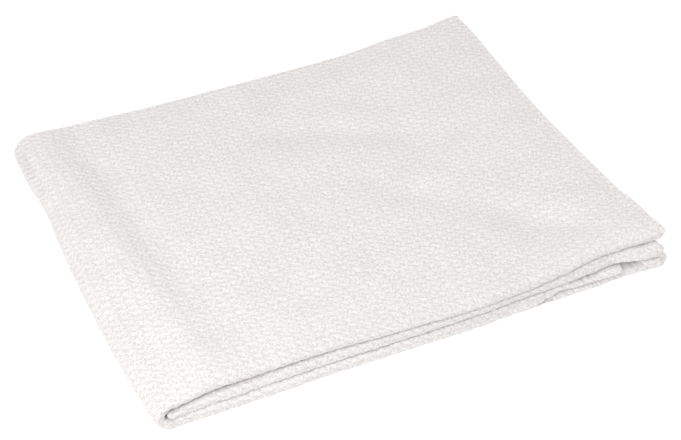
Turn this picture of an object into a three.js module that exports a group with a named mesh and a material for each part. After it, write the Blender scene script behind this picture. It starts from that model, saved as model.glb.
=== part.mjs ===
// A cotton hand towel, folded: doubled along its length with the fold at the front, then folded in three.
// Millimetres, +Z up. X runs along the front edge to the right and Y runs away from it. The origin is
// under the middle of the folded towel, on the surface that it lies on.

import * as THREE from 'three';

// Driving dimensions of the cloth and of the fold, before the edges are set out of true.
const PLY = 3.0; // thickness of the lofty cloth
const AIR = 0.6; // air between one ply and the next
const WIDTH = 330; // from the left fold to the free end on top
const DEPTH = 253; // from the front fold to the back edges
const TUCK_IN = 8; // from the left fold to the free end that is tucked inside it
const TURN_IN = 1; // how far the right-hand fold stops short of the free end on top

// What follows from them. A strip is the doubled cloth: two plies and the air between them.
const PITCH = PLY + AIR;
const STRIP_HALF = PLY + AIR / 2;
const HEIGHT = 6 * PLY + 5 * AIR;
const STRIP_Z = { bottom: STRIP_HALF, middle: STRIP_HALF + 2 * PITCH, top: STRIP_HALF + 4 * PITCH };

// How finely the cloth is cut: steps along a third, the same for all three so that their plies keep
// apart, steps round each fold, and lines across a ply, counted from the front fold's middle.
const STEPS = { third: 19, rightTurn: 6, leftTurn: 8, nose: 6 };
const PLY_LINES = [0, 4, 10, 20, 38, 62, 90, 120, 150, 180, 208, 232, DEPTH - STRIP_HALF];

// The front fold of each third, from left to right: how far the whole front edge lies back from a
// straight one, how far each third's own fold lies back from that, and how much further back the bottom
// third's inner ply turns than its outer one.
const FRONT_FOLDS = [
  { x: 0, edge: 0.9, bottom: 0.0, middle: 3.0, top: 3.0, lean: 0.0 },
  { x: 12, edge: 0.8, bottom: 0.0, middle: 1.5, top: 3.4, lean: 0.0 },
  { x: 40, edge: 0.0, bottom: 0.0, middle: 1.4, top: 5.1, lean: 0.0 },
  { x: 75, edge: -0.9, bottom: -0.3, middle: 1.4, top: 6.0, lean: 0.0 },
  { x: 100, edge: -1.5, bottom: 0.2, middle: 1.9, top: 5.9, lean: 0.0 },
  { x: 140, edge: -2.3, bottom: -0.4, middle: 2.8, top: 4.0, lean: 0.0 },
  { x: 193, edge: -3.3, bottom: 0.1, middle: 1.4, top: 2.1, lean: 0.0 },
  { x: 221, edge: -3.7, bottom: -0.3, middle: 1.4, top: 1.2, lean: 0.0 },
  { x: 258, edge: -4.2, bottom: -0.5, middle: 3.4, top: 4.0, lean: 0.0 },
  { x: 277, edge: -4.5, bottom: 0.0, middle: 4.8, top: 7.0, lean: 0.4 },
  { x: 288, edge: -4.8, bottom: 0.2, middle: 6.6, top: 6.4, lean: 1.5 },
  { x: 300, edge: -5.1, bottom: 0.2, middle: 3.6, top: 6.6, lean: 5.0 },
  { x: 312, edge: -5.4, bottom: 0.0, middle: 1.9, top: 7.2, lean: 4.0 },
  { x: 330, edge: -6.2, bottom: 0.4, middle: 2.6, top: 7.0, lean: 2.0 },
];

// The back of the stack, from left to right: how far it lies beyond a straight edge.
const BACK_EDGE = [
  { x: 0, out: 1.5 },
  { x: 9, out: 4.4 },
  { x: 60, out: 0.5 },
  { x: 110, out: 0.2 },
  { x: 200, out: 1.4 },
  { x: 258, out: 3.8 },
  { x: 300, out: 6.0 },
  { x: 320, out: 10.5 },
  { x: 330, out: 12.4 },
];

// The two sides, from front to back: how far each lies to the right of a straight edge.
const SIDES = [
  { y: 0, left: -2.8, right: -0.8 },
  { y: 12, left: -4.2, right: -3.6 },
  { y: 34, left: -5.4, right: -4.4 },
  { y: 43, left: -5.8, right: -6.9 },
  { y: 80, left: -6.5, right: -6.8 },
  { y: 125, left: -6.4, right: -6.0 },
  { y: 156, left: -6.1, right: -4.4 },
  { y: 200, left: -5.0, right: -1.4 },
  { y: 213, left: -7.0, right: -0.5 },
  { y: 236, left: -7.2, right: 1.7 },
  { y: 253, left: -6.4, right: 2.3 },
];

// The back edges of the six plies: how far each lies beyond the stack's, at the left, centre and right.
const BACK_PLIES = {
  bottom: { outer: { left: -1.0, centre: -3.0, right: -4.5 }, inner: { left: -3.5, centre: -1.5, right: -6.0 } },
  middle: { outer: { left: -5.0, centre: -4.0, right: -3.5 }, inner: { left: -2.5, centre: -5.5, right: -6.5 } },
  top: { outer: { left: 0.0, centre: 0.0, right: 0.0 }, inner: { left: -2.0, centre: -3.5, right: -2.5 } },
};

// The two free ends: how far each ply's end lies to the right of a straight cut.
const FREE_ENDS = { middle: { outer: 0.0, inner: 3.0 }, top: { outer: 0.0, inner: -3.5 } };

// How far from its edge a fold's or a ply's own offset fades out.
const REACH = { front: 46, back: 60, end: 50 };

// The tucked end is pressed thin inside the left fold, and the right-hand fold is pinched near its front.
const TUCK_PRESS = { share: 0.36, reach: 26 };
const PINCH = { z: 9.0, tall: 2.8, deep: 4.0, reach: 26, along: 60 };

// Soft troughs in the top, or swells where the depth is negative: centre, length, width, direction, depth.
const TROUGHS = [
  { name: 'beside the left fold', x: 38, y: 128, long: 300, wide: 20, turn: 90, depth: 1.3 },
  { name: 'long diagonal', x: 206, y: 166, long: 150, wide: 20, turn: -32, depth: 1.2 },
  { name: 'short diagonal', x: 222, y: 80, long: 120, wide: 18, turn: -46, depth: 0.7 },
  { name: 'near the right front', x: 278, y: 36, long: 36, wide: 18, turn: -30, depth: 1.0 },
  { name: 'swell by the right edge', x: 296, y: 58, long: 44, wide: 22, turn: -40, depth: -0.8 },
  { name: 'swell at the front left', x: 92, y: 50, long: 120, wide: 60, turn: 10, depth: -0.7 },
];
const TROUGH_POWER = 1.6; // how fast a trough fades with depth into the stack

// How much of its height the stack loses at each side, and how far in from it that reaches.
const SINKS = {
  front: { share: 0.06, reach: 26 },
  back: { share: 0.05, reach: 26 },
  left: { share: 0.05, reach: 18 },
  right: { share: 0.05, reach: 26 },
};

// 1 at an edge and 0 at the reach from it, smooth at both ends.
function fade(distance, reach) {
  const t = Math.min(Math.max(distance / reach, 0), 1);
  return 1 - t * t * (3 - 2 * t);
}

function mix(a, b, share) {
  return a + (b - a) * share;
}

// The slope of a table at a row: none at a turning point, else between those of the two spans.
function rowSlope(table, key, column, row) {
  if (row === 0 || row === table.length - 1) return 0;
  const slope = (a, b) => (table[b][column] - table[a][column]) / (table[b][key] - table[a][key]);
  const before = slope(row - 1, row);
  const after = slope(row, row + 1);
  return before * after <= 0 ? 0 : (2 * before * after) / (before + after);
}

// A table's column at a place between its rows, on a smooth curve that never overshoots them.
function read(table, key, column, place) {
  const last = table.length - 1;
  const at = Math.min(Math.max(place, table[0][key]), table[last][key]);
  const row = Math.min(table.findLastIndex((entry) => entry[key] <= at), last - 1);
  const span = table[row + 1][key] - table[row][key];
  const t = (at - table[row][key]) / span;
  const rise = t * t * (3 - 2 * t);
  const lead = span * rowSlope(table, key, column, row) * t * (1 - t) ** 2;
  const trail = span * rowSlope(table, key, column, row + 1) * t * t * (1 - t);
  return mix(table[row][column], table[row + 1][column], rise) + lead - trail;
}

// A value given at the left, centre and right of the folded towel, on a parabola through the three.
function across(values, x) {
  const t = x / WIDTH;
  const straight = mix(values.left, values.right, t);
  return straight + (values.centre - (values.left + values.right) / 2) * 4 * t * (1 - t);
}

// The doubled strip's way, seen from the front: to the right along the middle, down round the right-hand
// fold, back along the bottom, up round the left fold and to the right along the top. Each station has
// its place, the way its outer ply faces, and its third, or its share between two thirds in a fold.
function stripRoute() {
  const rightTurn = WIDTH - TURN_IN - STRIP_HALF - PITCH;
  const leftTurn = STRIP_HALF + 2 * PITCH;
  const route = [];
  const flat = (third, x, facing) => {
    route.push({ x, z: STRIP_Z[third], nx: 0, nz: facing, third, next: third, share: 0 });
  };
  const run = (third, from, to, facing) => {
    for (let i = 0; i <= STEPS.third; i += 1) flat(third, mix(from, to, i / STEPS.third), facing);
  };
  const turn = (x, third, next, side, steps) => {
    const radius = (STRIP_Z[next] - STRIP_Z[third]) / 2;
    for (let i = 1; i < steps; i += 1) {
      const angle = (Math.PI * i) / steps;
      const nx = side * Math.sin(angle);
      const nz = side * Math.cos(angle);
      const z = STRIP_Z[third] + radius - radius * Math.cos(angle);
      route.push({ x: x + Math.abs(radius) * nx, z, nx, nz, third, next, share: i / steps });
    }
  };
  flat('middle', TUCK_IN, 1);
  run('middle', leftTurn, rightTurn, 1);
  turn(rightTurn, 'middle', 'bottom', 1, STEPS.rightTurn);
  run('bottom', rightTurn, leftTurn, -1);
  turn(leftTurn, 'bottom', 'top', -1, STEPS.leftTurn);
  run('top', leftTurn, rightTurn, 1);
  flat('top', WIDTH, 1);
  return route;
}

// The strip's section: the outer ply from its back edge to the front, half round the front fold, and the
// inner ply to its back edge. y is the place across and h the height over the strip's middle, on the
// cloth's own middle, and (ny, nh) is the way that the cloth's outside faces.
function stripSection() {
  const half = PITCH / 2;
  const ply = (facing) => PLY_LINES.map((line) => ({ y: STRIP_HALF + line, h: half * facing, ny: 0, nh: facing }));
  const nose = [];
  for (let i = 1; i < STEPS.nose; i += 1) {
    const angle = (Math.PI * i) / STEPS.nose;
    const ny = -Math.sin(angle);
    const nh = Math.cos(angle);
    nose.push({ y: STRIP_HALF + half * ny, h: half * nh, ny, nh });
  }
  return [...ply(1).reverse(), ...nose, ...ply(-1)];
}

// How deep the troughs are at a place on the top: each is a long soft dent with a round cross-section.
function troughDepth(x, y) {
  return TROUGHS.reduce((sum, trough) => {
    const turn = THREE.MathUtils.degToRad(trough.turn);
    const along = (x - trough.x) * Math.cos(turn) + (y - trough.y) * Math.sin(turn);
    const aside = (y - trough.y) * Math.cos(turn) - (x - trough.x) * Math.sin(turn);
    const fall = (2 * along / trough.long) ** 4 + (2 * aside / trough.wide) ** 2;
    return sum + trough.depth * Math.exp(-fall);
  }, 0);
}

// The share of its full height that the stack keeps at a place.
function loft(x, y) {
  const sink = (side, distance) => 1 - SINKS[side].share * fade(distance, SINKS[side].reach);
  return sink('front', y) * sink('back', DEPTH - y) * sink('left', x) * sink('right', WIDTH - x);
}

// One point of the cloth: a station of the route, one of the section, and a distance out from the
// cloth's middle. The true folds come first, then each third's and ply's own offsets, then the stack's
// uneven sides and its soft top. Each step only slides the cloth over itself, so the plies stay apart.
function clothPoint(station, section, out) {
  const press = station.third === 'middle' && station.share === 0 ? TUCK_PRESS.share : 0;
  const h = (section.h + out * section.nh) * (1 - press * fade(station.x - TUCK_IN, TUCK_PRESS.reach));
  let x = station.x + station.nx * h;
  let y = section.y + out * section.ny;
  const z = station.z + station.nz * h;
  const outer = (h + STRIP_HALF) / (2 * STRIP_HALF);
  const lean = { bottom: read(FRONT_FOLDS, 'x', 'lean', x) * (1 - outer), middle: 0, top: 0 };
  const front = (third) => read(FRONT_FOLDS, 'x', third, x) + lean[third];
  const back = (third) => mix(across(BACK_PLIES[third].inner, x), across(BACK_PLIES[third].outer, x), outer);
  const ends = { middle: x - TUCK_IN, bottom: REACH.end, top: WIDTH - x };
  const end = (third) => {
    const cut = FREE_ENDS[third] ?? { inner: 0, outer: 0 };
    return mix(cut.inner, cut.outer, outer) * fade(ends[third], REACH.end);
  };
  const frontShift = mix(front(station.third), front(station.next), station.share);
  const backShift = mix(back(station.third), back(station.next), station.share);
  const endShift = station.share > 0 ? 0 : end(station.third);
  y += frontShift * fade(y, REACH.front) + backShift * fade(DEPTH - y, REACH.back);
  x += endShift;
  const side = mix(read(SIDES, 'y', 'left', y), read(SIDES, 'y', 'right', y), x / WIDTH);
  const edge = mix(read(FRONT_FOLDS, 'x', 'edge', x), read(BACK_EDGE, 'x', 'out', x), y / DEPTH);
  const dent = troughDepth(x, y) * (Math.max(z, 0) / HEIGHT) ** TROUGH_POWER;
  const level = Math.exp(-(((z - PINCH.z) / PINCH.tall) ** 2));
  const pinch = PINCH.deep * level * fade(WIDTH - x, PINCH.reach) * fade(y, PINCH.along);
  return [x + side - pinch, y + edge, z * loft(x, y) - dent];
}

// The closed skin of the cloth: its outside and inside over the whole grid of stations, and the four
// rims that join them at the two free ends and along the two back edges.
function clothGeometry() {
  const route = stripRoute();
  const section = stripSection();
  const lines = section.length;
  const faceSize = route.length * lines;
  const positions = [];
  for (const out of [PLY / 2, -PLY / 2]) {
    for (const station of route) {
      for (const line of section) positions.push(...clothPoint(station, line, out));
    }
  }
  const outside = (i, j) => i * lines + j;
  const inside = (i, j) => faceSize + i * lines + j;
  const triangles = [];
  const quad = (a, b, c, d) => triangles.push(a, b, c, a, c, d);
  const lastStation = route.length - 1;
  const lastLine = lines - 1;
  for (let i = 0; i < lastStation; i += 1) {
    for (let j = 0; j < lastLine; j += 1) {
      quad(outside(i, j), outside(i, j + 1), outside(i + 1, j + 1), outside(i + 1, j));
      quad(inside(i, j), inside(i + 1, j), inside(i + 1, j + 1), inside(i, j + 1));
    }
    quad(outside(i, 0), outside(i + 1, 0), inside(i + 1, 0), inside(i, 0));
    quad(outside(i, lastLine), inside(i, lastLine), inside(i + 1, lastLine), outside(i + 1, lastLine));
  }
  for (let j = 0; j < lastLine; j += 1) {
    quad(outside(0, j), inside(0, j), inside(0, j + 1), outside(0, j + 1));
    quad(outside(lastStation, j), outside(lastStation, j + 1), inside(lastStation, j + 1), inside(lastStation, j));
  }
  const geometry = new THREE.BufferGeometry();
  geometry.setAttribute('position', new THREE.Float32BufferAttribute(positions, 3));
  geometry.setIndex(triangles);
  return geometry;
}

// The origin goes under the middle of the finished towel.
function centred(geometry) {
  geometry.computeBoundingBox();
  const centre = geometry.boundingBox.getCenter(new THREE.Vector3());
  geometry.translate(-centre.x, -centre.y, -geometry.boundingBox.min.z);
  geometry.computeVertexNormals();
  return geometry;
}

const cotton = new THREE.MeshStandardMaterial({ color: '#f1efee', roughness: 0.95, metalness: 0, name: 'cotton' });
const cloth = new THREE.Mesh(centred(clothGeometry()), cotton);
cloth.name = 'towel';

const towel = new THREE.Group();
towel.add(cloth);

export default towel;
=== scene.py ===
"""A cotton hand towel, folded, on a pale floor.

The towel is one rectangle of thick white cotton, 50 by 100 cm, with a raised lattice weave. It is doubled
along its length with the fold at the front, and the doubled strip is folded in three: the strip's one end
is tucked in between, and the other comes round the left fold and ends on top at the right.

Sizes are in millimetres and turn into metres where a mesh or the scene is made. Until then X runs along
the front edge from the left fold, Y runs away from the front fold and Z runs up from the floor.
"""

from __future__ import annotations

import logging
import math
from dataclasses import dataclass, field, replace
from enum import Enum
from functools import cached_property, partial
from typing import Any, NamedTuple, Sequence

import bpy
import numpy as np
from mathutils import Matrix, Vector


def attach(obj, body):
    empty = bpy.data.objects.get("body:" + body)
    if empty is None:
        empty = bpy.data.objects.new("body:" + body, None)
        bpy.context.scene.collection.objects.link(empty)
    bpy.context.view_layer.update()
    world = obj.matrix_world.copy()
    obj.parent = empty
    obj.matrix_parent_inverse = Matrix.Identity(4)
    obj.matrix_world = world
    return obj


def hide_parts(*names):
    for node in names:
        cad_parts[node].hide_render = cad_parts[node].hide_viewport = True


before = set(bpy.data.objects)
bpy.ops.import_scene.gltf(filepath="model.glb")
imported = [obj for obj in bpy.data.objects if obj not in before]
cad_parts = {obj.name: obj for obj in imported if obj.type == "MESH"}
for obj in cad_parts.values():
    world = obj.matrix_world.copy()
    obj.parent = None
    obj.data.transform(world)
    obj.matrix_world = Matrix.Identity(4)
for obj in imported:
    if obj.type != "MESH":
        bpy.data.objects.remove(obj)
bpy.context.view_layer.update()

log = logging.getLogger("towel")

Array = np.ndarray
Pair = tuple[Array, Array]
MM = 0.001
TURN = 2 * math.pi
UV_MAP = "cloth"
LACKING = "lacking"


def fade(distance: Array, reach: float) -> Array:
    """Falls smoothly from 1 at an edge to 0 at the reach from it: 1 - 3t^2 + 2t^3."""
    t = np.clip(distance / reach, 0.0, 1.0)
    return 1 - t * t * (3 - 2 * t)


def mix(first: Array, second: Array, share: Array) -> Array:
    """Goes straight from the first value to the second as the share goes from 0 to 1."""
    return first + (second - first) * share


def linear(colour: str) -> tuple[float, float, float, float]:
    """Turns an sRGB hex colour into a linear one.

    Args:
        colour: The colour, such as "#f4f2f0".

    Returns:
        Linear red, green, blue and an alpha of 1.
    """
    parts = [int(colour[i : i + 2], 16) / 255 for i in (1, 3, 5)]
    red, green, blue = (c / 12.92 if c <= 0.04045 else ((c + 0.055) / 1.055) ** 2.4 for c in parts)
    return red, green, blue, 1.0


class Curve:
    """A smooth curve through a table's rows that never overshoots them."""

    def __init__(self, rows: Sequence[Any], place: str, value: str) -> None:
        """Reads the table and works out the slope at each row.

        A slope is none at a turning point or an end, and otherwise the harmonic mean of its two spans'.

        Args:
            rows: The table's rows, in the order of their places.
            place: The column that holds the places.
            value: The column that holds the values.
        """
        self.places = np.array([getattr(row, place) for row in rows], dtype=float)
        self.values = np.array([getattr(row, value) for row in rows], dtype=float)
        steps = np.diff(self.values) / np.diff(self.places)
        before, after = steps[:-1], steps[1:]
        turning = before * after <= 0
        total = np.where(turning, 1.0, before + after)
        self.slopes = np.zeros(len(rows))
        self.slopes[1:-1] = np.where(turning, 0.0, 2 * before * after / total)

    def __call__(self, at: Array) -> Array:
        """Reads the curve, which is a cubic between each two rows.

        Args:
            at: The places to read it at. Past the ends it keeps the end's value.

        Returns:
            The values there.
        """
        at = np.clip(at, self.places[0], self.places[-1])
        row = np.clip(np.searchsorted(self.places, at, side="right") - 1, 0, len(self.places) - 2)
        span = self.places[row + 1] - self.places[row]
        t = (at - self.places[row]) / span
        rise = mix(self.values[row], self.values[row + 1], t * t * (3 - 2 * t))
        lead = span * self.slopes[row] * t * (1 - t) ** 2
        trail = span * self.slopes[row + 1] * t * t * (1 - t)
        return rise + lead - trail


class Third(Enum):
    """The thirds of the doubled strip, by where they lie in the stack."""

    BOTTOM = 0
    MIDDLE = 1
    TOP = 2

    @property
    def weights(self) -> Array:
        """A column of the thirds' weights, 1 for this one and 0 for the others."""
        return np.eye(len(Third))[:, [self.value]]


# Where a rounded rim's stations and lines lie on it, from near its outermost place to near the flat
RIM_ANGLES = np.radians([75.0, 50.0, 25.0])


@dataclass(frozen=True)
class Route:
    """Stations along the doubled strip, in the last axis of each array. A plain number holds for them all.

    (x, z) is the strip's middle and (nx, nz) the way that its outer ply faces. thirds holds a row of
    weights for each third, run the strip's length so far, turned the angle that it has turned through
    and plump the cloth's share of its full thickness.
    """

    x: Array
    z: Array | float
    nx: Array | float
    nz: Array | float
    thirds: Array
    run: Array
    turned: Array | float
    plump: Array | float = 1.0

    @staticmethod
    def joined(stretches: Sequence[Route]) -> Route:
        """One route of several stretches, end to end, with an array in every field."""
        names = Route.__dataclass_fields__
        columns = {name: [getattr(s, name) + 0 * s.x for s in stretches] for name in names}
        return Route(**{name: np.concatenate(parts, axis=-1) for name, parts in columns.items()})


@dataclass(frozen=True)
class Steps:
    """How finely a part of the cloth is cut: step lengths on the flat and counts of steps round folds."""

    along: float
    across_outer: float
    across_inner: float
    nose: int
    right_turn: int
    left_turn: int


@dataclass(frozen=True)
class Section:
    """Lines across the doubled strip: its outer ply from the back, round the front fold, and its inner ply.

    y is the place across and h the height over the strip's middle, both on the cloth's own middle.
    (ny, nh) is the way that the cloth's outside faces, length the cloth's own length from its back edge
    and bend the angle that it has turned through.
    """

    y: Array
    h: Array
    ny: Array
    nh: Array
    length: Array
    bend: Array


@dataclass(frozen=True)
class Skin:
    """A grid over one skin of the cloth: a route's stations by a section's lines.

    Its side is 1 for the cloth's outside and -1 for its inside.
    """

    route: Route
    section: Section
    side: float

    def lengths(self, fold: Fold) -> Pair:
        """The cloth's own lengths over the grid: the middle's length plus what a turn adds on this skin.

        Along the strip every line keeps the outer ply's length, so the weave stays square at the front.

        Args:
            fold: The true fold's sizes.

        Returns:
            The lengths along the strip and across it, stations by lines.
        """
        out = self.side * fold.round
        outer = fold.pitch / 2 + out
        u = (self.route.run + outer * self.route.turned)[:, None] + 0 * self.section.h
        v = (self.section.length + out * self.section.bend) + 0 * u
        return u, v


@dataclass(frozen=True)
class Fold:
    """The true fold, before its edges are set out of line, and what it is cut into."""

    ply: float = 3.0
    air: float = 0.6
    width: float = 330.0
    depth: float = 253.0

    # From the left fold to the end tucked inside it, and from the right fold to the free end on top
    tuck_in: float = 7.0
    turn_in: float = 3.2

    @property
    def round(self) -> float:
        """The radius of the cloth's rounded rims: half its thickness."""
        return self.ply / 2

    @property
    def pitch(self) -> float:
        """From one ply's middle to the next one's."""
        return self.ply + self.air

    @property
    def strip_half(self) -> float:
        """Half the thickness of the doubled strip."""
        return self.ply + self.air / 2

    @property
    def height(self) -> float:
        """The height of the whole stack of six plies."""
        return 6 * self.ply + 5 * self.air

    @property
    def left_turn(self) -> float:
        """Where the left fold's half round starts."""
        return self.strip_half + 2 * self.pitch

    @property
    def right_turn(self) -> float:
        """Where the right fold's half round starts."""
        return self.width - self.turn_in - self.strip_half - self.pitch

    def level(self, third: Third) -> float:
        """The height of the middle of a third's strip."""
        return self.strip_half + 2 * self.pitch * third.value

    def straight(self, third: Third, places: Array, run: float, turned: float) -> Route:
        """A flat stretch. Its outer ply is the upper one, or the lower one after a half turn.

        Args:
            third: The third that the stretch is in.
            places: The stations' places along the front.
            run: The strip's length so far.
            turned: The angle that the strip has turned through so far, a whole number of half turns.

        Returns:
            The stretch.
        """
        return Route(
            x=places,
            z=self.level(third),
            nx=0.0,
            nz=math.cos(turned),
            thirds=third.weights,
            run=run + np.abs(places - places[0]),
            turned=turned,
        )

    def turn(self, third: Third, after: Third, x: float, steps: int, run: float, turned: float) -> Route:
        """A half round from one third to another, without its first and last station.

        Args:
            third: The third that it leaves.
            after: The third that it leads to.
            x: The place of the half round's centre along the front.
            steps: The number of steps round it.
            run: The strip's length so far.
            turned: The angle so far: none before the right fold, and a half turn before the left one.

        Returns:
            The half round.
        """
        angle = math.pi * np.arange(1, steps) / steps
        side = math.cos(turned)
        radius = (self.level(after) - self.level(third)) / 2
        share = angle / math.pi
        return Route(
            x=x + abs(radius) * side * np.sin(angle),
            z=self.level(third) + radius * (1 - np.cos(angle)),
            nx=side * np.sin(angle),
            nz=side * np.cos(angle),
            thirds=third.weights * (1 - share) + after.weights * share,
            run=run + abs(radius) * angle,
            turned=turned + angle,
        )

    def end(self, stretch: Route, station: int) -> Route:
        """The rounded rim of a free end: a quarter round of the cloth's half thickness.

        Args:
            stretch: The flat stretch that it ends, which runs to the right.
            station: The stretch's last station before the rim, 0 or -1.

        Returns:
            The rim's stations, in the order of the route.
        """
        angles = RIM_ANGLES if station == 0 else RIM_ANGLES[::-1]
        onward = -1.0 if station == 0 else 1.0
        out = onward * self.round * np.sin(angles)
        rim = {"x": stretch.x[station] + out, "run": stretch.run[station] + out}
        return replace(stretch, **rim, plump=np.cos(angles))

    def section(self, steps: Steps, side: float) -> Section:
        """Works out the section of one skin of the cloth.

        A ply is a row of lines, the front fold a half round, and each back edge a quarter round.

        Args:
            steps: How finely the section is cut.
            side: 1 for the cloth's outside and -1 for its inside, whose rims face the other way.

        Returns:
            The section's lines.
        """
        back = self.depth - self.round
        front = self.strip_half
        half = self.pitch / 2
        outer = np.linspace(back, front, round((back - front) / steps.across_outer) + 1)
        inner = np.linspace(front, back, round((back - front) / steps.across_inner) + 1)
        angle = math.pi * np.arange(1, steps.nose) / steps.nose
        rim = RIM_ANGLES
        ply_length = back - front
        nose_length = half * math.pi
        flat = [np.zeros(len(outer)), np.zeros(len(inner))]
        columns = {
            "y": [back + 0 * rim, outer, front - half * np.sin(angle), inner, back + 0 * rim],
            "h": [half + 0 * rim, half + flat[0], half * np.cos(angle), flat[1] - half, 0 * rim - half],
            "ny": [side * np.sin(rim), flat[0], -np.sin(angle), flat[1], side * np.sin(rim[::-1])],
            "nh": [np.cos(rim), flat[0] + 1, np.cos(angle), flat[1] - 1, -np.cos(rim[::-1])],
            "length": [
                -self.round * np.sin(rim),
                back - outer,
                ply_length + half * angle,
                ply_length + nose_length + inner - front,
                2 * ply_length + nose_length + self.round * np.sin(rim[::-1]),
            ],
            "bend": [0 * rim, flat[0], angle, flat[1] + math.pi, 0 * rim + math.pi],
        }
        return Section(**{name: np.concatenate(parts) for name, parts in columns.items()})

    def stretches(self, steps: Steps) -> list[Route]:
        """The strip's way from its tucked end through the middle, the bottom and the top third.

        Args:
            steps: How finely it is cut.

        Returns:
            The tucked rim, the middle, the right fold, the bottom, the left fold, the top and its rim.
        """
        left, right = self.left_turn, self.right_turn
        count = round((right - left) / steps.along)
        places = np.append(self.tuck_in + self.round, np.linspace(left, right, count + 1))
        middle = self.straight(Third.MIDDLE, places, 0, 0)
        run = middle.run[-1]
        right_fold = self.turn(Third.MIDDLE, Third.BOTTOM, right, steps.right_turn, run, 0)
        run += math.pi * self.pitch
        bottom = self.straight(Third.BOTTOM, np.linspace(right, left, count + 1), run, math.pi)
        run = bottom.run[-1]
        left_fold = self.turn(Third.BOTTOM, Third.TOP, left, steps.left_turn, run, math.pi)
        run += TURN * self.pitch
        end = self.width - self.round
        places = np.linspace(left, end, round((end - left) / steps.along) + 1)
        top = self.straight(Third.TOP, places, run, TURN)
        return [self.end(middle, 0), middle, right_fold, bottom, left_fold, top, self.end(top, -1)]

    def skin(self, stretches: slice, steps: Steps, side: float) -> Skin:
        """One skin of some of the strip's stretches. Its side is 1 outside and -1 inside."""
        section = self.section(steps, side)
        return Skin(Route.joined(self.stretches(steps)[stretches]), section, side)


# The strip's stretches up to the left fold, from there on, and all of them
LOWER = slice(0, 4)
UPPER = slice(4, 7)
WHOLE = slice(0, 7)


class FrontFold(NamedTuple):
    """The front at one place: how far its edge and each third's fold lie back, and how two of them lean.

    The lean is how much farther back the bottom third's upper ply lies than its lower one, and the slump
    is the same for the middle third.
    """

    x: float
    edge: float
    bottom: float
    middle: float
    top: float
    lean: float
    slump: float


class Side(NamedTuple):
    """The two sides at one place from the front: how far each lies to the right of a straight edge."""

    y: float
    left: float
    right: float


class Back(NamedTuple):
    """The back at one place: how far it lies beyond a straight edge."""

    x: float
    out: float


class PlyBack(NamedTuple):
    """A ply's back edge: how far it lies beyond the stack's at the left, centre and right."""

    left: float
    centre: float
    right: float

    def across(self, t: Array) -> Array:
        """Reads the parabola through the three values, with t from 0 at the left to 1 at the right."""
        bulge = self.centre - (self.left + self.right) / 2
        return mix(self.left, self.right, t) + bulge * 4 * t * (1 - t)


class Trough(NamedTuple):
    """A long soft dent in the top, or a swell where its depth is negative."""

    name: str
    x: float
    y: float
    long: float
    wide: float
    turn: float
    depth: float


class Crease(NamedTuple):
    """A groove in a round side: its middle along the edge and up, its size, depth and slope."""

    name: str
    along: float
    z: float
    long: float
    tall: float
    depth: float
    rise: float = 0.0


class Sink(NamedTuple):
    """The share of its height that the stack loses at a side, and how far in that reaches."""

    share: float
    reach: float


FRONT_FOLDS = (
    FrontFold(x=0, edge=0.6, bottom=-1.6, middle=-0.6, top=3.0, lean=0.0, slump=0.0),
    FrontFold(x=12, edge=1.1, bottom=-0.4, middle=0.4, top=3.4, lean=0.0, slump=0.8),
    FrontFold(x=24, edge=0.9, bottom=0.0, middle=1.4, top=4.3, lean=0.0, slump=2.4),
    FrontFold(x=40, edge=0.7, bottom=0.0, middle=1.8, top=5.1, lean=0.0, slump=3.6),
    FrontFold(x=75, edge=0.4, bottom=-0.3, middle=2.2, top=6.0, lean=0.0, slump=4.2),
    FrontFold(x=100, edge=0.0, bottom=0.2, middle=2.4, top=5.9, lean=0.0, slump=3.8),
    FrontFold(x=140, edge=-1.0, bottom=-0.4, middle=2.6, top=4.0, lean=1.6, slump=1.6),
    FrontFold(x=199, edge=-2.8, bottom=-0.6, middle=3.2, top=2.6, lean=3.4, slump=0.3),
    FrontFold(x=221, edge=-3.0, bottom=-0.3, middle=4.2, top=3.2, lean=4.2, slump=0.1),
    FrontFold(x=258, edge=-3.5, bottom=-0.3, middle=4.6, top=6.4, lean=4.4, slump=0.3),
    FrontFold(x=277, edge=-3.8, bottom=0.0, middle=5.2, top=8.8, lean=3.2, slump=0.4),
    FrontFold(x=288, edge=-3.8, bottom=0.2, middle=6.8, top=9.0, lean=2.0, slump=0.6),
    FrontFold(x=300, edge=-3.9, bottom=0.2, middle=3.6, top=8.8, lean=1.6, slump=0.8),
    FrontFold(x=312, edge=-4.7, bottom=0.0, middle=1.9, top=8.6, lean=2.0, slump=0.8),
    FrontFold(x=319, edge=-4.7, bottom=-0.6, middle=1.9, top=8.3, lean=2.0, slump=0.8),
    FrontFold(x=330, edge=-3.3, bottom=0.4, middle=1.6, top=8.0, lean=2.0, slump=0.4),
)

BACK_EDGE = (
    Back(x=0, out=1.8),
    Back(x=9, out=3.4),
    Back(x=30, out=3.4),
    Back(x=60, out=1.4),
    Back(x=95, out=0.2),
    Back(x=130, out=0.4),
    Back(x=166, out=0.8),
    Back(x=230, out=1.2),
    Back(x=270, out=5.2),
    Back(x=296, out=6.4),
    Back(x=321, out=11.4),
    Back(x=330, out=12.6),
)

SIDES = (
    Side(y=0, left=-2.4, right=0.3),
    Side(y=12, left=-3.2, right=-3.2),
    Side(y=24, left=-4.1, right=-5.2),
    Side(y=40, left=-5.0, right=-5.4),
    Side(y=45, left=-5.2, right=-6.8),
    Side(y=80, left=-6.2, right=-6.6),
    Side(y=125, left=-6.2, right=-6.4),
    Side(y=156, left=-5.6, right=-5.4),
    Side(y=184, left=-4.2, right=-3.2),
    Side(y=204, left=-4.6, right=-1.8),
    Side(y=216, left=-6.0, right=-0.6),
    Side(y=236, left=-6.2, right=0.8),
    Side(y=253, left=-5.6, right=2.0),
)

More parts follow.
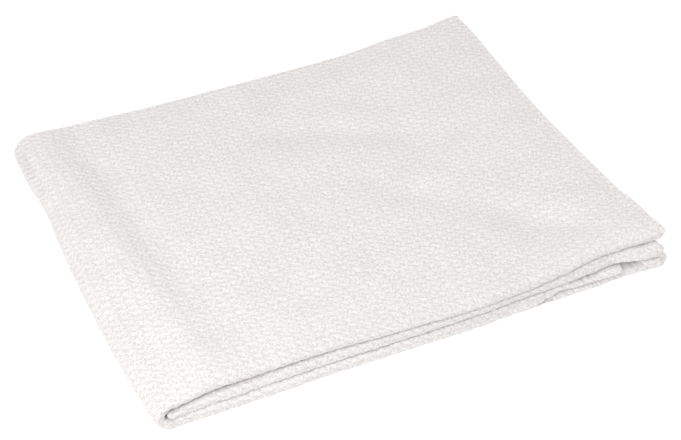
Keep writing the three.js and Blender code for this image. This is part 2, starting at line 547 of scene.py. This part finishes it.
OUTER_BACKS = {
    Third.BOTTOM: PlyBack(left=-1.0, centre=-3.0, right=-4.5),
    Third.MIDDLE: PlyBack(left=-5.0, centre=-4.0, right=-3.5),
    Third.TOP: PlyBack(left=0.0, centre=0.0, right=0.0),
}

INNER_BACKS = {
    Third.BOTTOM: PlyBack(left=-3.5, centre=-1.5, right=-6.0),
    Third.MIDDLE: PlyBack(left=-2.5, centre=-5.5, right=-6.5),
    Third.TOP: PlyBack(left=-2.0, centre=-3.5, right=-2.5),
}

TROUGHS = (
    Trough("crest beside the left fold", x=27, y=120, long=290, wide=28, turn=95, depth=-3.0),
    Trough("beside that crest", x=46, y=155, long=230, wide=26, turn=97, depth=1.9),
    Trough("long diagonal", x=202, y=172, long=130, wide=28, turn=-26, depth=2.3),
    Trough("short diagonal", x=226, y=88, long=110, wide=28, turn=-40, depth=2.2),
    Trough("near the right front", x=277, y=38, long=56, wide=24, turn=-30, depth=2.1),
    Trough("swell by the right edge", x=296, y=58, long=44, wide=22, turn=-40, depth=-0.9),
    Trough("lifted right front corner", x=324, y=2, long=110, wide=76, turn=-30, depth=-2.4),
    Trough("lifted right back corner", x=322, y=244, long=170, wide=140, turn=40, depth=-2.8),
    Trough("swell at the front left", x=92, y=50, long=120, wide=60, turn=10, depth=-0.7),
)

NOSE_CREASES = (
    Crease("wrinkle in the bottom fold", along=272, z=2.9, long=44, tall=0.6, depth=2.8),
    Crease("start of that wrinkle", along=244, z=2.5, long=18, tall=0.6, depth=2.6, rise=0.1),
    Crease("notch above its start", along=252, z=3.3, long=8, tall=1.0, depth=3.4),
    Crease("gap over the roll", along=267, z=7.0, long=15, tall=1.1, depth=4.4),
    Crease("open hollow beside the roll", along=301, z=6.0, long=12, tall=2.0, depth=14.0),
)

SIDE_CREASES = (Crease("crease at the back left", along=220, z=17.2, long=44, tall=1.0, depth=3.2),)


@dataclass(frozen=True)
class Stack:
    """The folded towel as it lies: the true fold, slid and pressed out of true.

    Each step moves whole layers of the stack alike or nearly alike, so its plies stay apart.
    """

    fold: Fold = Fold()

    # How far in the offsets at the front, the back and a free end reach, and the inner plies' offsets there
    front_reach: float = 46.0
    back_reach: float = 60.0
    end_reach: float = 50.0
    middle_end_inner: float = 3.0
    top_end_inner: float = -3.5

    # The round front noses are squared: pushed out above and below their middles, as pressed cloth is
    nose_square: float = 0.65
    nose_reach: float = 5.0

    # The tucked end is pressed thinner inside the left fold
    press_share: float = 0.2
    press_reach: float = 26.0

    # The right end's layers draw back between its upper and its lower lip
    pinch_z: float = 8.8
    pinch_tall: float = 2.4
    pinch_deep: float = 5.6
    pinch_reach: float = 26.0
    pinch_along: float = 60.0

    # A trough fades with the depth under the top by this power, and a crease with the distance from its edge
    trough_power: float = 1.6
    crease_reach: float = 32.0

    # The corner at the front left: its top drops, while the roll of the bottom third swells under it
    corner_drop: float = 1.4
    corner_rise: float = 2.2
    corner_hump: float = 0.62
    corner_along: float = 46.0
    corner_back: float = 84.0

    # The middle third sags at the front left and opens the gap over it. Along the front the lower plies of
    # the middle and the top third settle on what lies below them, and the middle's weave touches it
    open_share: float = 0.24
    open_along: float = 150.0
    open_back: float = 24.0
    open_floor: float = 5.6
    settle: float = 0.5
    touch: float = 0.9
    touch_step: float = 8.2
    touch_along: float = 100.0
    touch_back: float = 14.0

    # Each side of the stack is pressed lower than its middle
    front_sink: Sink = Sink(share=0.13, reach=32)
    back_sink: Sink = Sink(share=0.05, reach=26)
    left_sink: Sink = Sink(share=0.10, reach=38)
    right_sink: Sink = Sink(share=0.03, reach=16)

    @cached_property
    def curves(self) -> dict[str, Curve]:
        """The tables' columns as smooth curves, by name."""
        curves = {name: Curve(FRONT_FOLDS, "x", name) for name in FrontFold._fields[1:]}
        curves["out"] = Curve(BACK_EDGE, "x", "out")
        curves["left"] = Curve(SIDES, "y", "left")
        curves["right"] = Curve(SIDES, "y", "right")
        return curves

    def trough_depth(self, x: Array, y: Array) -> Array:
        """How deep the troughs are: each falls off as exp(-(2a/long)^4 - (2b/wide)^2), a along it, b aside.

        Args:
            x: Places along the front.
            y: Places from the front.

        Returns:
            The depth at each place.
        """
        depth = np.zeros_like(x)
        for trough in TROUGHS:
            turn = math.radians(trough.turn)
            along = (x - trough.x) * math.cos(turn) + (y - trough.y) * math.sin(turn)
            aside = (y - trough.y) * math.cos(turn) - (x - trough.x) * math.sin(turn)
            fall = (2 * along / trough.long) ** 4 + (2 * aside / trough.wide) ** 2
            depth += trough.depth * np.exp(-fall)
        return depth

    def crease_depth(self, creases: Sequence[Crease], along: Array, z: Array) -> Array:
        """How deep the grooves in a round side are: exp(-(2a/long)^4 - (b/tall)^8), a along, b up from it.

        Args:
            creases: The grooves.
            along: Places along the edge.
            z: Heights over the floor.

        Returns:
            The depth at each place.
        """
        depth = np.zeros_like(z)
        for crease in creases:
            aside = along - crease.along
            up = z - crease.z - crease.rise * aside
            depth += crease.depth * np.exp(-((2 * aside / crease.long) ** 4) - (up / crease.tall) ** 8)
        return depth

    def loft(self, x: Array, y: Array) -> Array:
        """The share of its full height that the stack keeps: it sinks a little at its sides.

        Args:
            x: Places along the front.
            y: Places from the front.

        Returns:
            The share at each place.
        """
        fold = self.fold
        sides = (
            (self.front_sink, y),
            (self.back_sink, fold.depth - y),
            (self.left_sink, x),
            (self.right_sink, fold.width - x),
        )
        kept = np.ones_like(x)
        for sink, distance in sides:
            kept *= 1 - sink.share * fade(distance, sink.reach)
        return kept

    def place(self, skin: Skin, out: Array) -> Array:
        """The surface: a function of the station along the strip and the line across it.

        The true point is station + facing * height, with the section's line in place. The front noses are
        squared by 4r(1 - r), r the squared share of the half thickness. At the front left the middle third
        is sagged, with a cosine under it where its weave touches, and along the front the lower plies are
        settled. Each third's own offset at the front, back and free end is added and fades inwards. Then
        the whole plan is slid by the edges' curves, creased and pinched at its round sides. Its height is
        pressed at the sides and in the troughs, and at the front left corner it drops on top and rises by
        a sine below.

        Args:
            skin: The stations and lines.
            out: How far each point lies out from the cloth's middle, stations by lines.

        Returns:
            The points in millimetres, stations by lines by three.
        """
        fold = self.fold
        section = skin.section
        along = {name: getattr(skin.route, name)[:, None] for name in ("x", "z", "nx", "nz", "plump")}
        weights = {third: skin.route.thirds[third.value][:, None] for third in Third}
        bottom, middle, top = weights.values()
        out = out * along["plump"]
        inside = along["x"] - fold.tuck_in
        press = self.press_share * middle * fade(inside, self.press_reach)
        opened = self.open_share * middle * fade(inside, self.open_along) * fade(section.y, self.open_back)
        h = (section.h + out * section.nh) * (1 - press)
        x = along["x"] + along["nx"] * h
        y = section.y + out * section.ny
        z = along["z"] + along["nz"] * h
        rim = np.clip(h / fold.strip_half, -1, 1) ** 2
        y = y - self.nose_square * 4 * rim * (1 - rim) * fade(y, self.nose_reach)
        z -= opened * (z - self.open_floor)
        outer = (h + fold.strip_half) / (2 * fold.strip_half)
        touch = self.touch * middle * (1 - outer) * (1 + np.cos(TURN * x / self.touch_step)) / 2
        settled = self.settle * (middle + top) * (1 - outer)
        z -= (settled + touch * fade(x, self.touch_along)) * fade(y, self.touch_back)
        t = x / fold.width
        lean = bottom * self.curves["lean"](x) * (1 - outer)
        lean += middle * self.curves["slump"](x) * outer
        front = sum(weight * self.curves[third.name.lower()](x) for third, weight in weights.items()) + lean
        back = sum(
            weight * mix(INNER_BACKS[third].across(t), OUTER_BACKS[third].across(t), outer)
            for third, weight in weights.items()
        )
        middle_end = self.middle_end_inner * fade(x - fold.tuck_in, self.end_reach) * middle
        top_end = self.top_end_inner * fade(fold.width - x, self.end_reach) * top
        y = y + front * fade(y, self.front_reach) + back * fade(fold.depth - y, self.back_reach)
        x = x + (middle_end + top_end) * (1 - outer)
        side = mix(self.curves["left"](y), self.curves["right"](y), x / fold.width)
        edge = mix(self.curves["edge"](x), self.curves["out"](x), y / fold.depth)
        dent = self.trough_depth(x, y) * (np.maximum(z, 0) / fold.height) ** self.trough_power
        lifted = np.clip((z - 2 * fold.pitch) / (2 * fold.strip_half), 0, 1)
        hump = np.sin(np.pi * np.clip(z / fold.height, 0, 1) ** self.corner_hump)
        corner = self.corner_drop * lifted - self.corner_rise * hump
        drop = corner * fade(x, self.corner_along) * fade(y, self.corner_back)
        level = np.exp(-(((z - self.pinch_z) / self.pinch_tall) ** 2))
        pinch = self.pinch_deep * level * fade(fold.width - x, self.pinch_reach) * fade(y, self.pinch_along)
        nose = self.crease_depth(NOSE_CREASES, x, z) * fade(y, self.crease_reach)
        groove = self.crease_depth(SIDE_CREASES, y, z) * fade(x, self.crease_reach)
        height = z * self.loft(x, y) - dent - drop
        return np.stack([x + side - pinch + groove, y + edge + nose, height], axis=-1)


class Wave(NamedTuple):
    """One wave of the lattice weave: its repeats along and across a cell, its crest's place, its share."""

    along: int
    across: int
    crest: float
    share: float


WAVES = (
    Wave(along=1, across=-1, crest=0.85, share=0.40),
    Wave(along=0, across=1, crest=0.00, share=0.34),
    Wave(along=1, across=0, crest=0.00, share=0.16),
    Wave(along=2, across=-1, crest=0.45, share=0.18),
    Wave(along=2, across=1, crest=0.80, share=0.16),
    Wave(along=1, across=1, crest=0.60, share=0.14),
    Wave(along=1, across=-2, crest=0.05, share=0.12),
    Wave(along=2, across=0, crest=0.50, share=0.10),
)


class Noise(Enum):
    """The weave's noises, each with random values of its own."""

    WANDER_ALONG = 0
    WANDER_ACROSS = 1
    JITTER_ALONG = 2
    JITTER_ACROSS = 3
    UNEVEN = 4
    PEBBLE = 5


@dataclass(frozen=True)
class Weave:
    """The raised lattice: slanted floats with a small hollow above and to the left of each."""

    # One cell along the rows and across them, and the height of the relief
    cell_long: float = 6.41
    cell_wide: float = 4.75
    height: float = 0.2

    # How far the rows stray in soft waves and from cell to cell, and the sizes of both
    wander: float = 1.1
    wander_size: float = 46.0
    jitter: float = 1.0
    jitter_size: float = 7.0

    # How uneven the relief is, and the small bumps of the pile over it
    uneven: float = 0.8
    uneven_size: float = 6.0
    pebble: float = 0.23
    pebble_size: float = 2.6

    # How near the selvedges and the hemmed end the relief fades
    plain_edge: float = 5.0
    seed: int = 11

    def soft_noise(self, cloth: Pair, size: float, noise: Noise) -> Array:
        """Random values from -1 to 1 on a square grid, eased from one to the next by 3t^2 - 2t^3.

        Args:
            cloth: Cloth lengths along the strip and across it.
            size: The grid's step.
            noise: Which of the weave's noises it is.

        Returns:
            The noise at each place.
        """
        u, v = cloth
        spread = np.random.default_rng(self.seed + noise.value)
        col = np.floor(u / size).astype(int)
        row = np.floor(v / size).astype(int)
        low_col, low_row = col.min(), row.min()
        values = spread.uniform(-1, 1, (col.max() - low_col + 2, row.max() - low_row + 2))
        tu = 1 - fade(u / size - col, 1.0)
        tv = 1 - fade(v / size - row, 1.0)
        col, row = col - low_col, row - low_row
        near = mix(values[col, row], values[col + 1, row], tu)
        far = mix(values[col, row + 1], values[col + 1, row + 1], tu)
        return mix(near, far, tv)

    def wandered(self, cloth: Pair) -> Pair:
        """Where the weave's rows really run: the cloth's own places, shifted softly as it was handled.

        Args:
            cloth: Cloth lengths along the strip and across it.

        Returns:
            The shifted lengths.
        """
        shift_u = self.wander * self.soft_noise(cloth, self.wander_size, Noise.WANDER_ALONG)
        shift_v = self.wander * self.soft_noise(cloth, self.wander_size, Noise.WANDER_ACROSS)
        shift_u += self.jitter * self.soft_noise(cloth, self.jitter_size, Noise.JITTER_ALONG)
        shift_v += self.jitter * self.soft_noise(cloth, self.jitter_size, Noise.JITTER_ACROSS)
        return cloth[0] + shift_u, cloth[1] + shift_v

    def relief(self, cloth: Pair) -> Array:
        """The lattice's height: the sum of share * cos(2 pi (m p + n q - crest)), p and q in cells.

        m and n are a wave's repeats along and across a cell. The height is more in some places than in
        others, and small random bumps lie over it.

        Args:
            cloth: Lengths along the weave's rows and across them.

        Returns:
            The height at each place, in millimetres.
        """
        p = cloth[0] / self.cell_long
        q = cloth[1] / self.cell_wide
        lattice = sum(w.share * np.cos(TURN * (w.along * p + w.across * q - w.crest)) for w in WAVES)
        uneven = 1 + self.uneven * self.soft_noise(cloth, self.uneven_size, Noise.UNEVEN)
        pebbles = self.pebble * self.soft_noise(cloth, self.pebble_size, Noise.PEBBLE)
        return self.height * lattice * uneven + pebbles


@dataclass
class Surface:
    """The towel's mesh while it is being put together."""

    points: list[Array] = field(default_factory=list)
    places: list[Array] = field(default_factory=list)
    lacking: list[Array] = field(default_factory=list)
    quads: list[Array] = field(default_factory=list)
    triangles: list[Array] = field(default_factory=list)
    count: int = 0

    def add_grid(self, points: Array, cloth: Pair, lacking: Array, outwards: bool) -> Array:
        """Adds a grid of points and the quads between them.

        Args:
            points: Stations by lines by three, in millimetres.
            cloth: The cloth's own lengths at each point, along the strip and across it.
            lacking: The share of the weave's height that the grid is too coarse to hold.
            outwards: True for the cloth's outside, and False for its inside, whose quads run back.

        Returns:
            The points' numbers, stations by lines.
        """
        rows, cols = points.shape[:2]
        numbers = self.count + np.arange(rows * cols).reshape(rows, cols)
        corners = [numbers[:-1, :-1], numbers[:-1, 1:], numbers[1:, 1:], numbers[1:, :-1]]
        if not outwards:
            corners.reverse()
        self.points.append(points.reshape(-1, 3))
        self.places.append(np.stack(cloth, axis=-1).reshape(-1, 2))
        self.lacking.append(lacking.reshape(-1))
        self.quads.append(np.stack(corners, axis=-1).reshape(-1, 4))
        self.count += rows * cols
        return numbers

    def stitch(self, first: Array, second: Array, first_at: Array, second_at: Array) -> None:
        """Joins two rows of points of unlike counts by a strip of triangles.

        Each edge of a row makes a triangle with the other row's point that is next to the edge's middle.

        Args:
            first: The first row's point numbers.
            second: The second row's point numbers.
            first_at: Where the first row's points lie along it, rising.
            second_at: The same for the second row, on the same scale.
        """
        first_mid = (first_at[1:] + first_at[:-1]) / 2
        second_mid = (second_at[1:] + second_at[:-1]) / 2
        to_second = second[np.searchsorted(second_mid, first_mid, side="right")]
        to_first = first[np.searchsorted(first_mid, second_mid, side="left")]
        self.triangles.append(np.stack([first[:-1], first[1:], to_second], axis=-1))
        self.triangles.append(np.stack([second[1:], second[:-1], to_first], axis=-1))

    def mesh(self, name: str, shift: Array) -> bpy.types.Mesh:
        """Makes the mesh, with its UV map in metres of cloth and its lacking share as an attribute.

        Args:
            name: The mesh's name.
            shift: What is added to each point, in millimetres.

        Returns:
            The mesh, in metres, shaded smooth.
        """
        points = (np.concatenate(self.points) + shift) * MM
        quads = np.concatenate(self.quads)
        triangles = np.concatenate(self.triangles)
        corners = np.concatenate([quads.ravel(), triangles.ravel()])
        mesh = bpy.data.meshes.new(name)
        mesh.from_pydata(points.tolist(), [], quads.tolist() + triangles.tolist())
        mesh.shade_smooth()
        uv = mesh.uv_layers.new(name=UV_MAP)
        uv.uv.foreach_set("vector", (np.concatenate(self.places) * MM)[corners].ravel().astype(np.float32))
        held = mesh.attributes.new(LACKING, "FLOAT", "POINT")
        held.data.foreach_set("value", np.concatenate(self.lacking).astype(np.float32))
        mesh.validate()
        return mesh


def put(name: str, data: bpy.types.ID) -> bpy.types.Object:
    """Adds a mesh, a light or a camera to the scene as an object.

    Args:
        name: The object's name.
        data: What the object is made of.

    Returns:
        The object, at the origin.
    """
    thing = bpy.data.objects.new(name, data)
    bpy.context.scene.collection.objects.link(thing)
    return thing


def add_node(
    tree: bpy.types.NodeTree, kind: str, inputs: dict[Any, Any] | None = None, **settings: Any
) -> bpy.types.Node:
    """Adds a node with its settings, values and links.

    Args:
        tree: The node tree that gets it.
        kind: The node's type.
        inputs: For each input, by name or number, its value or what is linked to it: an output, or a
            node, which gives its first output.
        settings: The node's own settings by name.

    Returns:
        The node.
    """
    node = tree.nodes.new(kind)
    for name, value in settings.items():
        setattr(node, name, value)
    for key, value in (inputs or {}).items():
        if isinstance(value, bpy.types.Node):
            tree.links.new(value.outputs[0], node.inputs[key])
        elif isinstance(value, bpy.types.NodeSocket):
            tree.links.new(value, node.inputs[key])
        else:
            node.inputs[key].default_value = value
    return node


@dataclass(frozen=True)
class LatticeCotton:
    """Thick white cotton woven with a raised lattice, washed soft: matt, with a faint bloom of fibres. Its
    colour holds painted shade in the lattice's hollows and painted highlights and shade on its yarns.
    """

    # The crest is the cloth's own white. The hollow colour is painted shade, for the lattice's hollows that
    # lie in shade
    crest: str = "#f5f2f1"
    painted_hollow_shade: str = "#d8d4d3"
    roughness: float = 0.95
    specular: float = 0.3
    sheen: float = 0.1
    sheen_roughness: float = 0.6

    # The yarns: their size and slant in the cloth, how far they stand out, and how much painted highlight
    # and shade they add to its colour
    yarn_long: float = 1.2
    yarn_wide: float = 1.05
    yarn_slant: float = 25.0
    yarn_height: float = 0.5
    yarn_highlight_and_shade: float = 12.0
    yarn_detail: float = 3.0
    yarn_break: float = 0.6

    # The faint mottling, and the noise values between which it runs
    mottle_size: float = 30.0
    mottle_detail: float = 2.0
    mottle: float = 0.045
    mottle_low: float = 0.3
    mottle_high: float = 0.7

    # How much light passes into the cotton, how far, and how much of that in red, green and blue
    glow: float = 0.12
    glow_depth: float = 1.6
    glow_colours: tuple[float, float, float] = (1.0, 0.95, 0.9)

    # The heights of lattice and yarn together that take the painted shade of the hollows and the crest's
    # colour
    lowest: float = -1.5
    highest: float = 1.2

    def material(self, weave: Weave) -> bpy.types.Material:
        """Makes the woven cotton.

        The waves of the lattice paint shade into the colour: the hollows are coloured a little darker than
        the floats, as painted shade where less light gets out. They also raise the weave by bump where the
        mesh is too coarse to hold it. Finer bumps are the yarns, drawn about twice as coarse as real ones so
        that they show, and their noise paints small highlights and shade into the colour as well. The
        pattern follows the cloth's own lengths, so it runs on round every fold.

        Args:
            weave: The lattice's sizes.

        Returns:
            The material.
        """
        material = bpy.data.materials.new("woven_cotton")
        material.use_nodes = True
        material.node_tree.nodes.clear()
        add = partial(add_node, material.node_tree)
        cloth = add("ShaderNodeUVMap", uv_map=UV_MAP)
        lattice: Any = 0.0
        for wave in WAVES:
            along = TURN * wave.along / (weave.cell_long * MM)
            across = TURN * wave.across / (weave.cell_wide * MM)
            phase = add("ShaderNodeVectorMath", {0: cloth, 1: (along, across, 0)}, operation="DOT_PRODUCT")
            past = {0: phase.outputs["Value"], 1: TURN * wave.crest}
            turned = add("ShaderNodeMath", past, operation="SUBTRACT")
            crest = add("ShaderNodeMath", {0: turned}, operation="COSINE")
            added = {0: crest, 1: wave.share, 2: lattice}
            lattice = add("ShaderNodeMath", added, operation="MULTIPLY_ADD")
        lacking = add("ShaderNodeAttribute", attribute_name=LACKING)
        missing = add("ShaderNodeMath", {0: lattice, 1: lacking.outputs["Fac"]}, operation="MULTIPLY")
        weave_bump = add("ShaderNodeBump", {"Height": missing, "Distance": weave.height * MM})
        yarn_place = {
            "Vector": cloth,
            "Rotation": (0.0, 0.0, math.radians(self.yarn_slant)),
            "Scale": (self.yarn_long * MM, self.yarn_wide * MM, 1.0),
        }
        yarn_at = add("ShaderNodeMapping", yarn_place, vector_type="TEXTURE")
        broken = {"Detail": self.yarn_detail, "Roughness": self.yarn_break}
        yarns = add("ShaderNodeTexNoise", {"Vector": yarn_at, "Scale": 1.0, **broken})
        yarn_relief = {"Height": yarns, "Distance": self.yarn_height * MM, "Normal": weave_bump}
        yarn_bump = add("ShaderNodeBump", yarn_relief)
        # The yarns' noise also paints small highlights and shade into the colour
        centred = {0: yarns, 1: self.yarn_highlight_and_shade, 2: -self.yarn_highlight_and_shade / 2}
        painted_yarn_light = add("ShaderNodeMath", centred, operation="MULTIPLY_ADD")
        raised = add("ShaderNodeMath", {0: lattice, 1: painted_yarn_light}, operation="ADD")
        # Painted shade and highlight: lower places of lattice and yarn take the darker hollow colour, and
        # higher ones take the crest's
        heights = {"Value": raised, "From Min": self.lowest, "From Max": self.highest}
        lit = add("ShaderNodeMapRange", heights)
        between = {0: lit, 6: linear(self.painted_hollow_shade), 7: linear(self.crest)}
        painted_shade_and_highlight = add("ShaderNodeMix", between, data_type="RGBA")
        mottle_look = {"Vector": cloth, "Scale": 1 / (self.mottle_size * MM), "Detail": self.mottle_detail}
        mottle_range = {
            "Value": add("ShaderNodeTexNoise", mottle_look),
            "From Min": self.mottle_low,
            "From Max": self.mottle_high,
            "To Min": 1 - self.mottle,
        }
        mottle = add("ShaderNodeMapRange", mottle_range)
        colour = add("ShaderNodeVectorMath", {0: painted_shade_and_highlight.outputs[2], 1: mottle}, operation="MULTIPLY")
        look = {
            "Base Color": colour,
            "Roughness": self.roughness,
            "Sheen Weight": self.sheen,
            "Sheen Roughness": self.sheen_roughness,
            "Subsurface Weight": self.glow,
            "Subsurface Radius": self.glow_colours,
            "Subsurface Scale": self.glow_depth * MM,
            "Specular IOR Level": self.specular,
            "Normal": yarn_bump,
        }
        add("ShaderNodeOutputMaterial", {"Surface": add("ShaderNodeBsdfPrincipled", look)})
        return material


@dataclass
class Towel:
    """The folded towel: one closed sheet of cotton cloth."""

    stack: Stack = Stack()
    weave: Weave = Weave()
    finish: LatticeCotton = LatticeCotton()
    fine: Steps = Steps(
        along=1.282, across_outer=1.25, across_inner=9.0, nose=12, right_turn=10, left_turn=26
    )
    coarse: Steps = Steps(
        along=2.25, across_outer=12.0, across_inner=12.0, nose=18, right_turn=16, left_turn=26
    )
    lining: Steps = Steps(along=8.0, across_outer=9.0, across_inner=9.0, nose=6, right_turn=8, left_turn=10)

    # The place of the CAD's origin in the towel's own sizes, along the front and back from it
    middle: tuple[float, float] = (162.55, 130.35)

    # How far the relief is set into the cloth, and how much of it the bump repeats where the mesh holds it
    sunk: float = 0.2
    bump_share: float = 0.35

    # At the front folds: the share of the relief that the coarser grid holds, which has it only there,
    # how far in either grid's relief is set, and how far behind the folds both fade
    nose_share: float = 1.2
    nose_sunk: float = 0.05
    nose_fade: float = 6.0

    # How far past the front nose the fine grid's relief reaches on the cloth's inner ply, and through
    # what angle of the left fold it fades in, in degrees
    lip_fade: float = 6.0
    turn_fade: float = 30.0

    # The weave is worn flat in the soft corner at the right front
    corner_reach: float = 44.0
    corner_plain: float = 0.55

    # The cloth laid flat, across and along the strip, in metres: its middle's length through the folds
    flat: tuple[float, float] = (0.505, 0.98)

    def carried(self, skin: Skin) -> Array:
        """The share of the weave's height that the fine grid holds.

        It fades in round the left fold's underside, fades out past the front nose on the inner ply, and
        is small at the selvedges and the hemmed end and less in the soft corner at the right front.

        Args:
            skin: The stations and lines.

        Returns:
            The share at each point, stations by lines.
        """
        route, section = skin.route, skin.section
        into_turn = 1 - fade(route.turned - math.pi, math.radians(self.turn_fade))
        nose_end = section.length[np.argmax(section.bend >= math.pi)]
        past_nose = fade(section.length - nose_end, self.lip_fade)
        to_selvedge = 1 - fade(section.length, self.weave.plain_edge)
        to_end = 1 - fade(route.run[-1] - route.run, self.weave.plain_edge)
        corner = np.hypot(self.stack.fold.width - route.x[:, None], section.y)
        soft = 1 - self.corner_plain * fade(corner, self.corner_reach)
        return (into_turn * to_end)[:, None] * (past_nose * to_selvedge) * soft

    def build(self) -> bpy.types.Object:
        """Makes the towel's mesh object.

        The cloth's outside is a fine grid on the top third and the left fold and a coarser one on the
        rest. Its inside is a coarse grid, and rounded rims join the two all round.

        Returns:
            The object, in the CAD's place.
        """
        surface = Surface()
        fold = self.stack.fold
        low = fold.skin(LOWER, self.coarse, 1)
        high = fold.skin(UPPER, self.fine, 1)
        lining = fold.skin(WHOLE, self.lining, -1)
        low_points, low_plain = self.add_outside(surface, low, fine=False)
        high_points, high_plain = self.add_outside(surface, high, fine=True)
        inside = self.add_inside(surface, lining)

        surface.stitch(low_points[-1], high_points[0], low.section.length, high.section.length)
        back_outer = np.concatenate([low_points[:, 0], high_points[:, 0]])
        back_inner = np.concatenate([low_points[:, -1], high_points[:, -1]])
        run = np.concatenate([low.route.run, high.route.run])
        surface.stitch(back_outer, inside[:, 0], run, lining.route.run)
        surface.stitch(inside[:, -1], back_inner, lining.route.run, run)
        surface.stitch(inside[0], low_points[0], lining.section.length, low.section.length)
        surface.stitch(high_points[-1], inside[-1], high.section.length, lining.section.length)

        lowest = min(low_plain[..., 2].min(), high_plain[..., 2].min())
        shift = np.array([-self.middle[0], -self.middle[1], -lowest])
        return put("towel_cloth", surface.mesh("towel_cloth", shift))

    def add_outside(self, surface: Surface, skin: Skin, fine: bool) -> tuple[Array, Array]:
        """Adds a stretch of the cloth's outside.

        Args:
            surface: The surface that gets it.
            skin: The stations and lines.
            fine: True where the grid is fine enough to hold the weave's relief.

        Returns:
            The points' numbers, and the points as they lie without the weave.
        """
        fold = self.stack.fold
        cloth = self.weave.wandered(skin.lengths(fold))
        plain = np.full(cloth[0].shape, fold.round)
        nose = fade(skin.section.y - fold.strip_half, self.nose_fade)
        held = self.carried(skin) if fine else self.nose_share * nose + 0 * plain
        sunk = mix(self.sunk, self.nose_sunk, nose) if fine else self.nose_sunk
        points = self.stack.place(skin, plain + held * (self.weave.relief(cloth) - sunk))
        lacking = 1 - (1 - self.bump_share) * held
        return surface.add_grid(points, cloth, lacking, outwards=True), self.stack.place(skin, plain)

    def add_inside(self, surface: Surface, skin: Skin) -> Array:
        """Adds the cloth's inside, the skin that the doubling hides.

        Args:
            surface: The surface that gets it.
            skin: The stations and lines.

        Returns:
            The points' numbers.
        """
        fold = self.stack.fold
        cloth = skin.lengths(fold)
        whole = np.ones(cloth[0].shape)
        points = self.stack.place(skin, -fold.round * whole)
        return surface.add_grid(points, cloth, whole, outwards=False)

    def dress(self, towel: bpy.types.Object) -> None:
        """Gives the towel its cotton and tells the frame what it stands for.

        Args:
            towel: The towel's object.
        """
        towel.data.materials.append(self.finish.material(self.weave))
        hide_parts("towel")
        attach(towel, "root")


@dataclass(frozen=True)
class SoftLight:
    """One square soft light: its name, place, side, power and colour. It faces the towel."""

    name: str
    place: tuple[float, float, float]
    side: float
    power: float
    colour: str = "#ffffff"


@dataclass(frozen=True)
class Studio:
    """A white floor under soft light, seen from the front left and above. Its sizes are in metres."""

    white: str = "#ffffff"
    floor_side: float = 8.0
    sky_strength: float = 0.4

    # The floor glows a little, so that it is as white as the photo's ground
    floor_glow: float = 0.18

    # The camera in the photo's place, with its roll in degrees
    eye: tuple[float, float, float] = (-0.28853, -0.5668, 0.53715)
    aim: tuple[float, float, float] = (-0.00003, -0.01448, 0.0)
    roll: float = 1.827
    focal_length: float = 69.41
    sensor: float = 36.0
    nearest: float = 0.05
    lights: tuple[SoftLight, ...] = (
        SoftLight("overhead_softbox", place=(0.4, 0.3, 1.6), side=2.4, power=14.8),
        SoftLight("front_left_softbox", place=(-3.0, -2.1, 3.3), side=1.8, power=103.0),
        SoftLight("near_corner_lamp", place=(-0.21, -0.19, 0.25), side=0.15, power=0.17),
        SoftLight("right_corner_lamp", place=(0.22, -0.18, 0.17), side=0.1, power=0.026),
    )

    def build(self) -> None:
        """Makes the floor, the sky, the lights and the camera."""
        self.make_floor()
        self.make_sky()
        for light in self.lights:
            self.make_light(light)
        self.make_camera()
        bpy.context.scene.view_settings.view_transform = "Standard"

    def make_floor(self) -> None:
        """Makes a square floor of matt white paper, which is not part of the towel."""
        half = self.floor_side / 2
        corners = [(-half, -half, 0), (half, -half, 0), (half, half, 0), (-half, half, 0)]
        mesh = bpy.data.meshes.new("floor")
        mesh.from_pydata(corners, [], [(0, 1, 2, 3)])
        paper = bpy.data.materials.new("matt_white_paper")
        paper.use_nodes = True
        paper.node_tree.nodes.clear()
        white = {
            "Base Color": linear(self.white),
            "Roughness": 1.0,
            "Specular IOR Level": 0.0,
            "Emission Color": linear(self.white),
            "Emission Strength": self.floor_glow,
        }
        sheet = add_node(paper.node_tree, "ShaderNodeBsdfPrincipled", white)
        add_node(paper.node_tree, "ShaderNodeOutputMaterial", {"Surface": sheet.outputs[0]})
        mesh.materials.append(paper)
        put("floor", mesh)

    def make_sky(self) -> None:
        """Lights the scene evenly from all round."""
        world = bpy.data.worlds.new("studio_sky")
        world.use_nodes = True
        world.node_tree.nodes.clear()
        sky = {"Color": linear(self.white), "Strength": self.sky_strength}
        even = add_node(world.node_tree, "ShaderNodeBackground", sky)
        add_node(world.node_tree, "ShaderNodeOutputWorld", {"Surface": even.outputs[0]})
        bpy.context.scene.world = world

    def make_light(self, light: SoftLight) -> None:
        """Makes one square light that faces the towel.

        Args:
            light: What it is.
        """
        lamp = bpy.data.lights.new(light.name, "AREA")
        lamp.size = light.side
        lamp.energy = light.power
        lamp.color = linear(light.colour)[:3]
        holder = put(light.name, lamp)
        holder.location = light.place
        holder.visible_camera = False
        holder.rotation_euler = (-Vector(light.place)).to_track_quat("-Z", "Y").to_euler()

    def make_camera(self) -> None:
        """Makes the camera: it looks from the eye to the aim, rolled a little about that line."""
        lens = bpy.data.cameras.new("camera")
        lens.sensor_width = self.sensor
        lens.lens = self.focal_length
        lens.clip_start = self.nearest
        camera = put("camera", lens)
        look = Vector(self.aim) - Vector(self.eye)
        turn = look.to_track_quat("-Z", "Y").to_matrix() @ Matrix.Rotation(math.radians(self.roll), 3, "Z")
        camera.matrix_world = Matrix.Translation(self.eye) @ turn.to_4x4()
        bpy.context.scene.camera = camera


def main() -> None:
    """Builds the studio and the towel."""
    logging.basicConfig(level=logging.INFO, format="%(message)s")
    Studio().build()
    towel = Towel()
    cloth = towel.build()
    towel.dress(cloth)
    faces = sum(len(polygon.vertices) - 2 for polygon in cloth.data.polygons)
    log.info("%s: %d triangles", cloth.name, faces)


if __name__ == "__main__":
    main()
